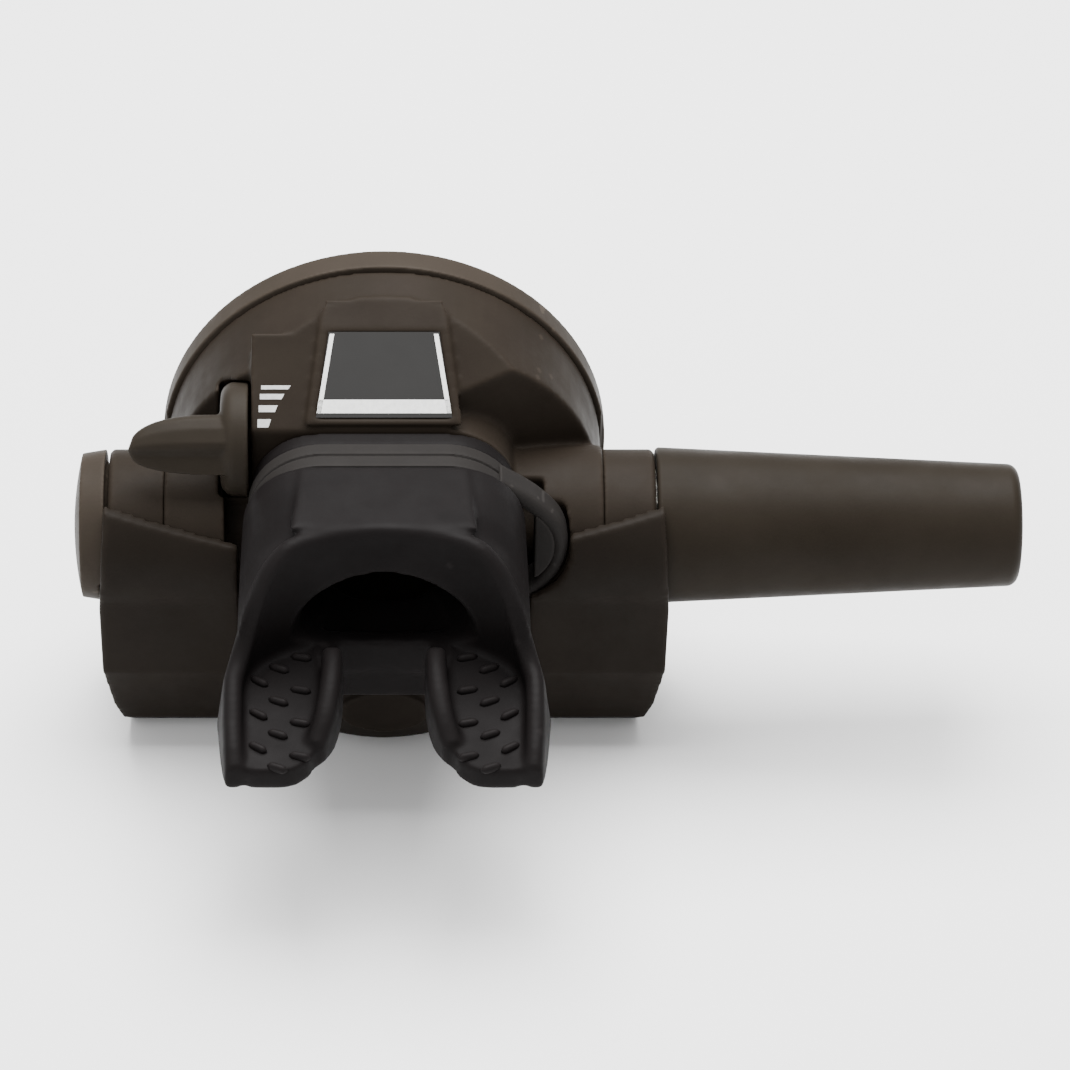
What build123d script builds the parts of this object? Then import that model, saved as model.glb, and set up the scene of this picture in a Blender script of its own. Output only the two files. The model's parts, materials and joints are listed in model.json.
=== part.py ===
from build123d import *
import os
from math import asin, cos, degrees, radians, sin

os.makedirs("parts", exist_ok=True)

# A diver's second stage (demand valve). +X is the hose side, +Y the purge cover's side, -Y the diver's
# mouth, +Z up. The origin lies on the flat underside of the exhaust tee, below the air barrel's middle.
# Sizes are millimetres. Outlines are drawn from the air barrel's axis, so their heights start there.

# ---- Driving dimensions -------------------------------------------------------------------------
axis_height = 41.0        # air barrel's axis above the underside of the exhaust tee
fit = 0.05                # radial gap of a pushed-in or sliding fit
play = 0.3                # gap between pieces that move past each other
far = 60.0                # reach of a cutting shape past the piece that it cuts

# Case
rim_y = 23.0              # front face of the case's rim
rim_r = 39.5              # case radius at the rim
wall = 2.2                # case wall
drum_back_y = -10.0       # where the drum's taper is measured
drum_taper = 1.6          # how much smaller the drum is there
back_slope = 1 / 3        # how steeply the flat back falls away on each side
back_y = -2.9             # where the two flat backs would meet
neck_y = -3.9             # back face of the neck block
neck_rise = 6.0           # neck's middle above the barrel axis
neck_half_w = 23.5
neck_half_h = 18.0
neck_corner = 13.0
neck_depth = 14.0         # how far the neck block runs into the drum
neck_plate = 1.6          # wall between the neck's hollow and its back face
spigot_end_y = -17.6      # end of the tube that the mouthpiece slides over
spigot_half_w = 21.2
spigot_half_h = 15.2
spigot_corner = 11.0
slope_rise = 0.82         # rise of the upper slope for each mm forward
under_slope = 1.475       # fall of the lower slope for each mm forward
boss_r = 14.3             # round bosses that carry the barrel
boss_end_x = 39.0
boss_start_x = 28.3       # beside the neck the bosses are cut back to the neck's face
seat_depth = 3.0          # counterbore in each boss end
seat_r = 9.0              # clears the barrel's end
ledge_y = 18.0            # ledge that the diaphragm's rim sits on
ledge_w = 2.3
sleeve_t = 1.2            # case material round the barrel beside the neck

# Label on the upper slope
label_start = 2.2         # up the slope from the neck's edge
label_length = 15.6
label_half_low = 12.0
label_half_high = 9.8
label_t = 0.8
saddle_t = 1.0            # raised seat round the label
saddle_fade = 7.0         # how far past the label the seat has faded away
scale_pad_inner_x = -12.0 # flat pad between the label and the venturi lever, for its printed scale

# Cover and purge button
cover_r = rim_r + 0.9     # the cover stands a little proud of the case
cover_lip_y = 28.0
cover_front_y = 29.5
cover_t = 2.0
dome_y = 33.0             # cover's height round the button
button_r = 19.0
button_face_y = 36.0
hub_y = 23.0              # back of the spider that the purge spring stands on
spider_t = 1.2
purge_travel = 4.5
stem_r = 3.0

# Air barrel and what is in it
barrel_r = 7.0
barrel_bore_r = 5.5
barrel_half = boss_end_x - seat_depth
oring_x = 31.0
oring_w = 1.6
oring_depth = 0.8
nut_r = 13.6
inlet_nut_length = 9.3
end_nut_length = 10.0
cap_gap = 0.7
cap_t = 4.3
cap_dome = 1.5
flange_t = 5.0            # flange of the inlet fitting and of the balance plug
crown_x = 13.5            # tip of the orifice crown
crown_r = 3.5
orifice_r = 2.2
poppet_head_x = 6.0
poppet_head_r = 4.6
poppet_stem_r = 1.8
poppet_bore_r = 0.8
seat_disc_r = 3.0
seat_disc_t = 1.8
adjuster_r = 4.0
adjuster_x = -31.0        # face that the poppet's spring stands on

# Diaphragm and demand lever
disc_back_y = 19.0
disc_t = 1.2
disc_r = 22.0
lever_length = 24.0
lever_w = 4.0
lever_t = 1.2
shoe_r = 1.2
pivot_inset = 5.7         # from the side of the case's spigot to the lever's pivot
pivot_x = pivot_inset - spigot_half_w
pivot_y = 5.4
pin_r = 0.8
foot_reach = 3.1

# Venturi lever
venturi_y = 1.0
venturi_hub_r = 10.2
venturi_clear = 1.3       # between the hub and the air barrel
venturi_rise = barrel_r + venturi_clear + venturi_hub_r
venturi_hub_w = 5.0
venturi_hub_gap = 0.5     # between the hub and the side of the neck
paddle_length = 16.2
paddle_mid_r = 7.6
paddle_t = 4.6
paddle_angle = 148.0      # from forward, turning up
paddle_spread = 27.0
shaft_r = 2.0
vane_r = 8.0
vane_start_x = -13.0
vane_length = 9.0
vane_angle = 300.0

# Exhaust valve and tee
valve_y = 5.25            # middle of the lower slope
valve_drop = -25.5
valve_r = 13.0
valve_t = 0.8
valve_gap = 0.2
valve_lift = 1.5
valve_stem_r = 1.2
valve_hub_r = 3.2
spoke_w = 1.6
valve_port_r = valve_r - 1.5
collar_r = valve_r + 2.6
collar_h = 2.6
tee_half = 50.8
tee_wall = 2.0
tee_wrap_r = 16.4         # outer radius where the tee wraps round the bosses
bulge_r = 29.0
bulge_y = 8.0
tee_top_near = 6.2        # tee's upper edge beside the neck
tee_top_far = 12.0        # tee's upper edge at its ends

# Mouthpiece and clamp
mouth_start_y = neck_y - play
lip_y = -(barrel_r + sleeve_t)
clamp_w = 6.8
clamp_end_y = lip_y - clamp_w
lip_half_w = 23.5
lip_half_h = 18.0
clamp_t = 1.4
clamp_bed = 0.8           # how far the clamp's bed lies below the lip
clamp_side_gap = 0.15
keeper_t = 2.4
mouth_half_w = 25.3
mouth_half_h = 19.0
mouth_corner = 12.0
mouth_wall_y = -32.0
mouth_end_y = -65.5
mouth_half_flange = 31.0
flange_wall = 3.4
flange_bow = 18.5         # how far the flange's curve reaches forward of its straight sides
hole_half_w = 15.0
hole_half_h = 7.5
hole_rise = 7.4
hole_end_y = -37.8        # where the breathing hole has passed the flange's curve
platform_t = 4.5
tongue_half_gap = 7.0

# Hose fitting and protector
thread_r = 6.5
stub_length = 16.0
hose_nut_af = 17.5
hose_nut_length = 13.0
hose_nut_end_t = 2.0
nipple_r = 2.9
stem_bore_r = 1.6
hose_stem_flange_r = 6.2
hose_stem_neck_r = 4.9
barb_r = 3.2
hose_stem_end = 84.0
ferrule_start = 63.0
ferrule_length = 25.0
ferrule_r = 8.5
ferrule_t = 2.0
protector_gap = 0.3
protector_length = 65.0
protector_big_r = 14.0
protector_small_r = 10.9
protector_bore_r = 10.6
hose_bore_r = 6.7         # for a 13 mm hose

# ---- Planes and axes through the barrel axis ----------------------------------------------------
mid_plane = Plane.XY.offset(axis_height)
side_plane = Plane(origin=(0, 0, axis_height), x_dir=(0, 1, 0), z_dir=(1, 0, 0))
back_plane = Plane(origin=(0, 0, axis_height), x_dir=(1, 0, 0), z_dir=(0, -1, 0))
drum_plane = Plane(origin=(0, 0, axis_height), x_dir=(1, 0, 0), z_dir=(0, 1, 0))
barrel_axis = Axis((0, 0, axis_height), (1, 0, 0))
drum_axis = Axis((0, 0, axis_height), (0, 1, 0))
pivot_plane = Plane((pivot_x, pivot_y, axis_height))
venturi_origin = (0, venturi_y, axis_height + venturi_rise)
venturi_mid = Plane(venturi_origin)
venturi_axis = Axis(venturi_origin, (1, 0, 0))
venturi_plane = Plane(origin=venturi_origin, x_dir=(0, 1, 0), z_dir=(1, 0, 0))
paddle_turn = radians(paddle_angle)
paddle_plane = Plane(origin=venturi_origin, x_dir=(1, 0, 0), z_dir=(0, cos(paddle_turn), sin(paddle_turn)))
neck_top = neck_rise + neck_half_h
neck_foot = neck_rise - neck_half_h
slope_plane = Plane(origin=(0, neck_y, axis_height + neck_top), x_dir=(1, 0, 0), z_dir=(0, -slope_rise, 1))
valve_plane = Plane(
    origin=(0, valve_y, axis_height + valve_drop), x_dir=(1, 0, 0), z_dir=(0, -under_slope, -1)
)


# ---- Shared shapes ------------------------------------------------------------------------------
def profile(*points, plane=mid_plane, grow=0.0):
    """A closed straight-sided outline on a plane, moved outward by grow."""
    with BuildSketch(plane) as outline:
        with BuildLine():
            Polyline(*points, close=True)
        make_face()
        if grow:
            offset(amount=grow, kind=Kind.INTERSECTION)
    return outline.sketch


def rod(plane, radius, start, end):
    """A round bar along a plane's normal, from start to end."""
    with BuildPart() as bar:
        with BuildSketch(plane.offset(min(start, end))):
            Circle(radius)
        extrude(amount=abs(end - start))
    return bar.part


def racetrack(half_w, half_h, corner, start_y, end_y, rise=neck_rise):
    """A rounded block that runs along Y, as the neck and the mouthpiece do."""
    with BuildPart() as block:
        with BuildSketch(back_plane.offset(-start_y)):
            with Locations((0, rise)):
                RectangleRounded(2 * half_w, 2 * half_h, corner)
        extrude(amount=start_y - end_y)
    return block.part


def case_form(grow):
    """The case's outer form: a drum cut by the two flat backs and by the upper and lower slopes."""
    front_r = rim_r + grow
    reach = back_y + far * back_slope
    top = neck_top + slope_rise * far
    foot = neck_foot - under_slope * far
    with BuildPart() as form:
        drum = profile((0, drum_back_y), (front_r - drum_taper, drum_back_y), (front_r, rim_y), (0, rim_y))
        revolve(drum, axis=drum_axis)
        plan = profile((0, back_y), (far, reach), (far, far), (-far, far), (-far, reach), grow=grow)
        extrude(plan, amount=far, both=True, mode=Mode.INTERSECT)
        side = profile(
            (neck_y, neck_foot), (neck_y, neck_top), (neck_y + far, top), (neck_y + far, foot),
            plane=side_plane, grow=grow,
        )
        extrude(side, amount=far, both=True, mode=Mode.INTERSECT)
    return form.part


def keeper_outline(grow):
    """The clamp's keeper loop as seen along Y, beside the neck on the hose side."""
    side_x = lip_half_w - clamp_bed + clamp_t
    top = (side_x, neck_rise + 11.4)
    foot = (side_x, neck_rise - 10.4)
    with BuildSketch(back_plane.offset(clamp_side_gap - lip_y - max(grow, 0))) as outline:
        with BuildLine():
            ThreePointArc(top, (side_x + 8.5, neck_rise + 0.8), foot)
            Line(foot, top)
        make_face()
        if grow:
            offset(amount=grow)
    return outline.sketch


def coil(mean_r, wire_r, turns, low, high, plane):
    """A compression spring along a plane's normal, between two seats."""
    height = high - low - 2 * wire_r
    with BuildPart() as spring:
        start = plane.origin + plane.z_dir * (low + wire_r)
        with BuildLine() as path:
            Helix(pitch=height / turns, height=height, radius=mean_r, center=start, direction=plane.z_dir)
        with BuildSketch(Plane(origin=path.line @ 0, z_dir=path.line % 0)):
            Circle(wire_r)
        sweep(path=path.line, is_frenet=True)
    return spring.part


# ---- Case ---------------------------------------------------------------------------------------
outer_form = case_form(0)
neck_inner_y = neck_y + neck_depth
sleeve_r = barrel_r + fit + sleeve_t
recess_r = rim_r - wall
hub_inner_x = -(neck_half_w + venturi_hub_gap)
hub_outer_x = hub_inner_x - venturi_hub_w

with BuildPart() as bosses:
    for side in (-1, 1):
        add(rod(side_plane, boss_r, side * spigot_half_w, side * boss_end_x))
    beside_neck = profile(
        (-boss_start_x, neck_y), (boss_start_x, neck_y), (boss_start_x, -far), (-boss_start_x, -far)
    )
    extrude(beside_neck, amount=far, both=True, mode=Mode.SUBTRACT)
    extrude(keeper_outline(play), amount=far, mode=Mode.SUBTRACT)

with BuildPart() as cavity:
    add(case_form(-wall))
    add(rod(drum_plane, recess_r - ledge_w, -far, ledge_y), mode=Mode.INTERSECT)
    add(rod(drum_plane, recess_r, ledge_y, rim_y + 1))
    add(racetrack(
        neck_half_w - wall, neck_half_h - wall, neck_corner - wall, neck_inner_y - wall, neck_y + neck_plate
    ))
    add(racetrack(
        spigot_half_w - wall, spigot_half_h - wall, spigot_corner - wall, neck_inner_y - wall, spigot_end_y - 1
    ))

with BuildPart() as hub_pocket_wall:
    add(rod(venturi_plane, venturi_hub_r + play + wall, hub_outer_x - play - wall, wall - spigot_half_w))
    add(outer_form, mode=Mode.INTERSECT)

with BuildPart() as saddle:
    with BuildSketch(slope_plane):
        with BuildLine():
            Polyline(
                (-label_half_low - 1.9, label_start - 1.4), (label_half_low + 1.9, label_start - 1.4),
                (label_half_high + 1.0, label_start + label_length + saddle_fade),
                (-label_half_high - 1.0, label_start + label_length + saddle_fade),
                close=True,
            )
        make_face()
    extrude(amount=saddle_t)
    # past the label it fades into the slope
    with BuildSketch(Plane(origin=slope_plane.origin, x_dir=slope_plane.y_dir, z_dir=slope_plane.x_dir)):
        with BuildLine():
            Polyline(
                (0, 0), (0, saddle_t), (label_start + label_length + 0.8, saddle_t),
                (label_start + label_length + saddle_fade, 0), close=True,
            )
        make_face()
    extrude(amount=far, both=True, mode=Mode.INTERSECT)
    fillet(edges().filter_by(lambda e: slope_plane.to_local_coords(e.center()).Z > 0.1), radius=0.5)

with BuildPart() as label_plate:
    with BuildSketch(slope_plane.offset(0.2)):
        with BuildLine():
            Polyline(
                (-label_half_low, label_start), (label_half_low, label_start),
                (label_half_high, label_start + label_length), (-label_half_high, label_start + label_length),
                close=True,
            )
        make_face()
    extrude(amount=label_t)

with BuildPart() as case:
    add(outer_form)
    add(racetrack(neck_half_w, neck_half_h, neck_corner, neck_inner_y, neck_y))
    # pad that fills the neck's corner up to the slope, beside the venturi lever
    pad = profile(
        (neck_y, neck_rise), (neck_y, neck_top), (neck_inner_y, neck_top + slope_rise * neck_depth),
        (neck_inner_y, neck_rise), plane=side_plane.offset(-neck_half_w),
    )
    extrude(pad, amount=neck_half_w + scale_pad_inner_x)
    add(bosses.part)
    add(racetrack(spigot_half_w, spigot_half_h, spigot_corner, neck_y + 1, spigot_end_y))
    add(rod(valve_plane, collar_r, -0.5, collar_h))
    add(saddle.part)
    add(cavity.part, mode=Mode.SUBTRACT)
    add(hub_pocket_wall.part)
    for side in (-1, 1):
        add(rod(side_plane, sleeve_r, side * (spigot_half_w - wall), side * (boss_end_x - 1)))
        add(rod(side_plane, nut_r + play, side * boss_end_x, side * far), mode=Mode.SUBTRACT)
    add(label_plate.part, mode=Mode.SUBTRACT)
    # barrel bore with a seat at each end
    add(rod(side_plane, barrel_r + fit, -far, far), mode=Mode.SUBTRACT)
    for side in (-1, 1):
        add(rod(side_plane, seat_r, side * barrel_half, side * far), mode=Mode.SUBTRACT)
    # pocket and shaft hole of the venturi lever
    add(rod(venturi_plane, venturi_hub_r + play, -neck_half_w, hub_outer_x - play), mode=Mode.SUBTRACT)
    add(rod(venturi_plane, shaft_r + fit, 0, -far / 2), mode=Mode.SUBTRACT)
    # exhaust port: a seat inside the collar, a port with three spokes and a hub for the valve's stem
    add(rod(valve_plane, valve_r + 0.6, 0, far), mode=Mode.SUBTRACT)
    with BuildSketch(valve_plane):
        Circle(valve_port_r)
        Circle(valve_hub_r, mode=Mode.SUBTRACT)
        with PolarLocations(0, 3, start_angle=90):
            Rectangle(2 * valve_port_r, spoke_w, align=(Align.MIN, Align.CENTER), mode=Mode.SUBTRACT)
    extrude(amount=-wall - 1.5, mode=Mode.SUBTRACT)
    add(rod(valve_plane, valve_stem_r + play, -wall - 1, 1), mode=Mode.SUBTRACT)

# ---- Diaphragm ----------------------------------------------------------------------------------
disc_front_y = disc_back_y + disc_t
bead_y = ledge_y + 2.5
with BuildPart() as diaphragm_disc:
    add(rod(drum_plane, disc_r, disc_back_y, disc_front_y))
    fillet(edges().filter_by(GeomType.CIRCLE), radius=0.3)

with BuildPart() as diaphragm_skirt:
    mid_r = (disc_r + recess_r) / 2
    skirt = profile(
        (disc_r - 4, disc_front_y), (disc_r - 4, disc_front_y + 0.8), (disc_r + 1.5, disc_front_y + 0.8),
        (mid_r - 2, ledge_y + 0.6), (mid_r + 1.5, ledge_y + 0.6), (recess_r - ledge_w, bead_y),
        (recess_r - fit, bead_y), (recess_r - fit, ledge_y), (recess_r - ledge_w - 0.2, ledge_y),
        (recess_r - ledge_w - 1.2, ledge_y + 0.9), (mid_r + 1.8, ledge_y - 0.3), (mid_r - 2.4, ledge_y - 0.3),
        (disc_r + 1.1, disc_front_y),
    )
    revolve(skirt, axis=drum_axis)

# ---- Cover and purge button ---------------------------------------------------------------------
cover_rim_r = cover_r - 2.7
with BuildPart() as cover_ring:
    ring = profile(
        (cover_rim_r + 0.1, rim_y), (cover_r, rim_y), (cover_r, cover_lip_y), (cover_r - 1.5, cover_front_y),
        (cover_rim_r - 2.7, cover_front_y), (cover_rim_r - 2.7, cover_lip_y), (cover_rim_r + 0.1, cover_lip_y),
    )
    revolve(ring, axis=drum_axis)
    # grip notches in the rim, at each side
    for side in (-1, 1):
        with Locations((side * cover_r, rim_y, axis_height + 3)):
            Box(1.6, 4.0, 9.0, mode=Mode.SUBTRACT)

with BuildPart() as front_cover:
    dome = profile(
        (recess_r - ledge_w, bead_y), (recess_r - fit, bead_y), (recess_r - fit, rim_y), (cover_rim_r, rim_y),
        (cover_rim_r, cover_lip_y), (cover_rim_r - 2.9, cover_lip_y), (cover_rim_r - 3.6, cover_front_y),
        (button_r + 0.4, dome_y), (button_r + 0.4, dome_y - cover_t), (recess_r - ledge_w - 2, cover_lip_y - 0.6),
        (recess_r - ledge_w - 2, hub_y), (recess_r - ledge_w, hub_y),
    )
    revolve(dome, axis=drum_axis)
    # water slots
    with BuildSketch(drum_plane.offset(dome_y + 1)):
        with PolarLocations((button_r + recess_r - ledge_w) / 2, 16):
            SlotOverall(7.0, 3.0)
    extrude(amount=-9.0, mode=Mode.SUBTRACT)
    # spider that the purge spring stands on
    with BuildSketch(drum_plane.offset(hub_y)):
        Circle(stem_r + 4)
        with PolarLocations(0, 3, start_angle=30):
            Rectangle(recess_r - ledge_w, 3.0, align=(Align.MIN, Align.CENTER))
    extrude(amount=spider_t)
    add(rod(drum_plane, stem_r + 0.4, 0, dome_y), mode=Mode.SUBTRACT)

stem_end_y = disc_front_y + play
button_back_y = dome_y - cover_t
flange_back_y = hub_y + spider_t + purge_travel + 0.4
with BuildPart() as purge_button:
    button = profile(
        (0, stem_end_y), (stem_r, stem_end_y), (stem_r, button_back_y), (button_r - 2, button_back_y),
        (button_r - 2, flange_back_y), (button_r + 1.3, flange_back_y), (button_r + 1.3, flange_back_y + 1.1),
        (button_r, flange_back_y + 1.1), (button_r, button_face_y - 2.4), (button_r - 2.4, button_face_y - 1),
        (button_r / 2, button_face_y - 0.1), (0, button_face_y),
    )
    revolve(button, axis=drum_axis)

with BuildPart() as purge_spring:
    add(coil(stem_r + 2.4, 0.5, 4, hub_y + spider_t, button_back_y, drum_plane))

# ---- Air barrel, inlet and poppet, from the hose side to the far end ----------------------------
nut_bore_r = thread_r + fit
with BuildPart() as air_barrel:
    groove_r = barrel_r - oring_depth
    half_groove = oring_w / 2 + 0.1
    tube = profile(
        (-barrel_half, barrel_bore_r), (-barrel_half, barrel_r),
        (-oring_x - half_groove, barrel_r), (-oring_x - half_groove, groove_r),
        (-oring_x + half_groove, groove_r), (-oring_x + half_groove, barrel_r),
        (oring_x - half_groove, barrel_r), (oring_x - half_groove, groove_r),
        (oring_x + half_groove, groove_r), (oring_x + half_groove, barrel_r),
        (barrel_half, barrel_r), (barrel_half, barrel_bore_r),
    )
    revolve(tube, axis=barrel_axis)
    # window for the demand lever, forward, and the outlet towards the mouth
    with Locations((pivot_x + 3.3, barrel_r, axis_height)):
        Box(13.6, 2 * barrel_r, lever_w + 1.2, mode=Mode.SUBTRACT)
    with Locations((poppet_head_x - 1, -barrel_r, axis_height)):
        Box(13.0, 2 * barrel_r, 7.0, mode=Mode.SUBTRACT)
    add(rod(pivot_plane, pin_r, -far, far), mode=Mode.SUBTRACT)

with BuildPart() as lever_pin:
    add(rod(pivot_plane, pin_r, -barrel_r * 0.6, barrel_r * 0.6))

with BuildPart() as barrel_orings:
    for side in (-1, 1):
        middle = side * oring_x
        ring = profile(
            (middle - oring_w / 2, groove_r), (middle + oring_w / 2, groove_r),
            (middle + oring_w / 2, barrel_r + fit), (middle - oring_w / 2, barrel_r + fit),
        )
        revolve(ring, axis=barrel_axis)

fitting_end_x = barrel_half + flange_t + stub_length
with BuildPart() as inlet_fitting:
    crown_end_x = crown_x + 14.5
    flange_x = barrel_half + flange_t
    body = profile(
        (crown_end_x - 8, crown_r + fit), (crown_end_x - 8, barrel_bore_r - fit),
        (barrel_half, barrel_bore_r - fit), (barrel_half, seat_r - fit), (flange_x, seat_r - fit),
        (flange_x, thread_r), (fitting_end_x, thread_r), (fitting_end_x, nipple_r + 0.5),
        (fitting_end_x - 10, nipple_r + 0.5), (fitting_end_x - 10, orifice_r), (crown_end_x, orifice_r),
        (crown_end_x, crown_r + fit),
    )
    revolve(body, axis=barrel_axis)

with BuildPart() as orifice_crown:
    crown = profile(
        (crown_x, orifice_r), (crown_x, orifice_r + 0.4), (crown_x + 1, crown_r), (crown_end_x, crown_r),
        (crown_end_x, orifice_r),
    )
    revolve(crown, axis=barrel_axis)

with BuildPart() as inlet_nut:
    nut_end_x = boss_end_x + inlet_nut_length
    nut = profile(
        (boss_end_x, seat_r), (boss_end_x, nut_r), (nut_end_x - 0.6, nut_r), (nut_end_x, nut_r - 0.6),
        (nut_end_x, nut_bore_r), (flange_x, nut_bore_r), (flange_x, seat_r),
    )
    revolve(nut, axis=barrel_axis)

head_end_x = crown_x - 0.5
disc_face_x = crown_x - 0.3
with BuildPart() as poppet:
    shoulder_x = pivot_x - lever_t / 2 - 0.5
    spring_face_x = shoulder_x - 2.9
    body = profile(
        (spring_face_x, poppet_bore_r), (spring_face_x, barrel_bore_r - 0.7),
        (spring_face_x + 1.4, barrel_bore_r - 0.7), (spring_face_x + 1.4, poppet_stem_r + 1.5),
        (shoulder_x, poppet_stem_r + 1.5), (shoulder_x, poppet_stem_r), (poppet_head_x, poppet_stem_r),
        (poppet_head_x, poppet_head_r), (head_end_x, poppet_head_r), (head_end_x, seat_disc_r + fit),
        (disc_face_x - seat_disc_t, seat_disc_r + fit), (disc_face_x - seat_disc_t, poppet_bore_r),
    )
    revolve(body, axis=barrel_axis)

with BuildPart() as seat_disc:
    disc = profile(
        (disc_face_x - seat_disc_t, poppet_bore_r), (disc_face_x - seat_disc_t, seat_disc_r),
        (disc_face_x, seat_disc_r), (disc_face_x, poppet_bore_r),
    )
    revolve(disc, axis=barrel_axis)

with BuildPart() as poppet_spring:
    add(coil(adjuster_r - 0.7, 0.4, 6, adjuster_x, spring_face_x, side_plane))

with BuildPart() as balance_plug:
    plug_x = -barrel_half - flange_t
    plug = profile(
        (plug_x, adjuster_r + fit), (plug_x, seat_r - fit), (-barrel_half, seat_r - fit),
        (-barrel_half, barrel_bore_r - fit), (adjuster_x + 1, barrel_bore_r - fit),
        (adjuster_x + 1, adjuster_r + fit),
    )
    revolve(plug, axis=barrel_axis)

with BuildPart() as spring_adjuster:
    screw = profile(
        (plug_x - 1.5, 0), (plug_x - 1.5, adjuster_r + 0.8), (plug_x, adjuster_r + 0.8), (plug_x, adjuster_r),
        (adjuster_x, adjuster_r), (adjuster_x, 0),
    )
    revolve(screw, axis=barrel_axis)
    with Locations((plug_x - 1.5, 0, axis_height)):
        Box(1.6, 2 * adjuster_r + 2, 1.0, mode=Mode.SUBTRACT)

with BuildPart() as end_nut:
    end_x = -boss_end_x - end_nut_length
    nut = profile(
        (-boss_end_x, seat_r), (-boss_end_x, nut_r), (end_x + 0.6, nut_r), (end_x, nut_r - 0.6),
        (end_x, adjuster_r + 1.2), (plug_x, adjuster_r + 1.2), (plug_x, seat_r),
    )
    revolve(nut, axis=barrel_axis)

with BuildPart() as end_cap:
    rim_x = end_x - cap_gap
    with BuildSketch(mid_plane):
        with BuildLine():
            Polyline(
                (rim_x - cap_t - cap_dome, 0), (end_x + 5, 0), (end_x + 5, adjuster_r + 1.15),
                (end_x, adjuster_r + 1.15), (end_x, nut_r - 2.6), (rim_x, nut_r - 2.6), (rim_x, nut_r),
                (rim_x - cap_t, nut_r - 0.7),
            )
            TangentArc((rim_x - cap_t - cap_dome, 0), (rim_x - cap_t, nut_r - 0.7), tangent=(0, 1))
        make_face()
    revolve(axis=barrel_axis)
    # small key notch in the rim
    with BuildSketch(side_plane.offset(rim_x)):
        with PolarLocations(nut_r, 1, start_angle=205):
            Rectangle(2.4, 5.0)
    extrude(amount=-1.0, mode=Mode.SUBTRACT)

# ---- Demand lever -------------------------------------------------------------------------------
tip_rise = disc_back_y - play - shoe_r - pivot_y
lever_angle = degrees(asin(tip_rise / lever_length))
pressed_angle = degrees(asin((tip_rise - purge_travel) / lever_length))
lever_plane = Plane(
    origin=pivot_plane.origin, x_dir=(cos(radians(lever_angle)), sin(radians(lever_angle)), 0), z_dir=(0, 0, 1)
)
with BuildPart() as demand_lever:
    with BuildSketch(lever_plane.offset(-lever_w / 2)):
        Circle(pin_r + 1.0)
        with Locations((lever_length / 2, 0)):
            Rectangle(lever_length, lever_t)
        with Locations((lever_length, 0)):
            Circle(shoe_r)
    extrude(amount=lever_w)
    with Locations((pivot_x, pivot_y - foot_reach / 2, axis_height)):
        Box(lever_t, foot_reach, lever_w - 1.0)
    add(rod(pivot_plane, pin_r + 0.2, -far, far), mode=Mode.SUBTRACT)

# ---- Venturi lever, shaft and vane --------------------------------------------------------------
paddle_end_x = hub_outer_x - paddle_length
with BuildPart() as paddle:
    with BuildSketch(venturi_plane.offset(hub_outer_x + 2.5)):
        with BuildLine(mode=Mode.PRIVATE):
            middle_arc = CenterArc((0, 0), paddle_mid_r, paddle_angle - paddle_spread, 2 * paddle_spread)
        SlotArc(middle_arc, paddle_t)
    extrude(amount=paddle_end_x - hub_outer_x - 2.5)
    # seen from its outer side the paddle is a tongue with a round end
    with BuildSketch(paddle_plane):
        RectangleRounded(-2 * paddle_end_x, 2 * paddle_mid_r - 2.6, paddle_mid_r - 2.0)
    extrude(amount=far, mode=Mode.INTERSECT)

shaft_end_x = vane_start_x + vane_length
groove_x = wall / 2 - neck_half_w
with BuildPart() as venturi_lever:
    add(rod(venturi_plane, venturi_hub_r, hub_outer_x, hub_inner_x))
    fillet(edges().filter_by(GeomType.CIRCLE).sort_by(Axis.X)[0], radius=1.6)
    shaft = profile(
        (hub_inner_x, 0), (hub_inner_x, shaft_r), (groove_x - 0.8, shaft_r), (groove_x - 0.8, shaft_r - 0.6),
        (groove_x + 0.8, shaft_r - 0.6), (groove_x + 0.8, shaft_r), (shaft_end_x, shaft_r), (shaft_end_x, 0),
        plane=venturi_mid,
    )
    revolve(shaft, axis=venturi_axis)
    add(paddle.part)

with BuildPart() as venturi_oring:
    ring = profile(
        (groove_x - 0.8, shaft_r - 0.6), (groove_x - 0.8, shaft_r), (groove_x + 0.8, shaft_r),
        (groove_x + 0.8, shaft_r - 0.6), plane=venturi_mid,
    )
    revolve(ring, axis=venturi_axis)

vane_turn = radians(vane_angle)
vane_plane = Plane(origin=venturi_origin, x_dir=(0, cos(vane_turn), sin(vane_turn)), z_dir=(1, 0, 0))
with BuildPart() as venturi_vane:
    add(rod(venturi_plane, shaft_r + 0.8, vane_start_x, shaft_end_x))
    with BuildSketch(vane_plane.offset(vane_start_x)):
        Rectangle(vane_r, 1.2, align=(Align.MIN, Align.CENTER))
    extrude(amount=vane_length)
    add(rod(venturi_plane, shaft_r, vane_start_x - 1, shaft_end_x + 1), mode=Mode.SUBTRACT)

# ---- Exhaust valve ------------------------------------------------------------------------------
with BuildPart() as exhaust_valve:
    add(rod(valve_plane, valve_r, valve_gap, valve_gap + valve_t))
    add(rod(valve_plane, valve_stem_r, -wall - valve_lift - 2.5, valve_gap))
    add(rod(valve_plane, valve_stem_r + 0.8, -wall - valve_lift - 2.3, -wall - valve_lift - play))

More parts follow.
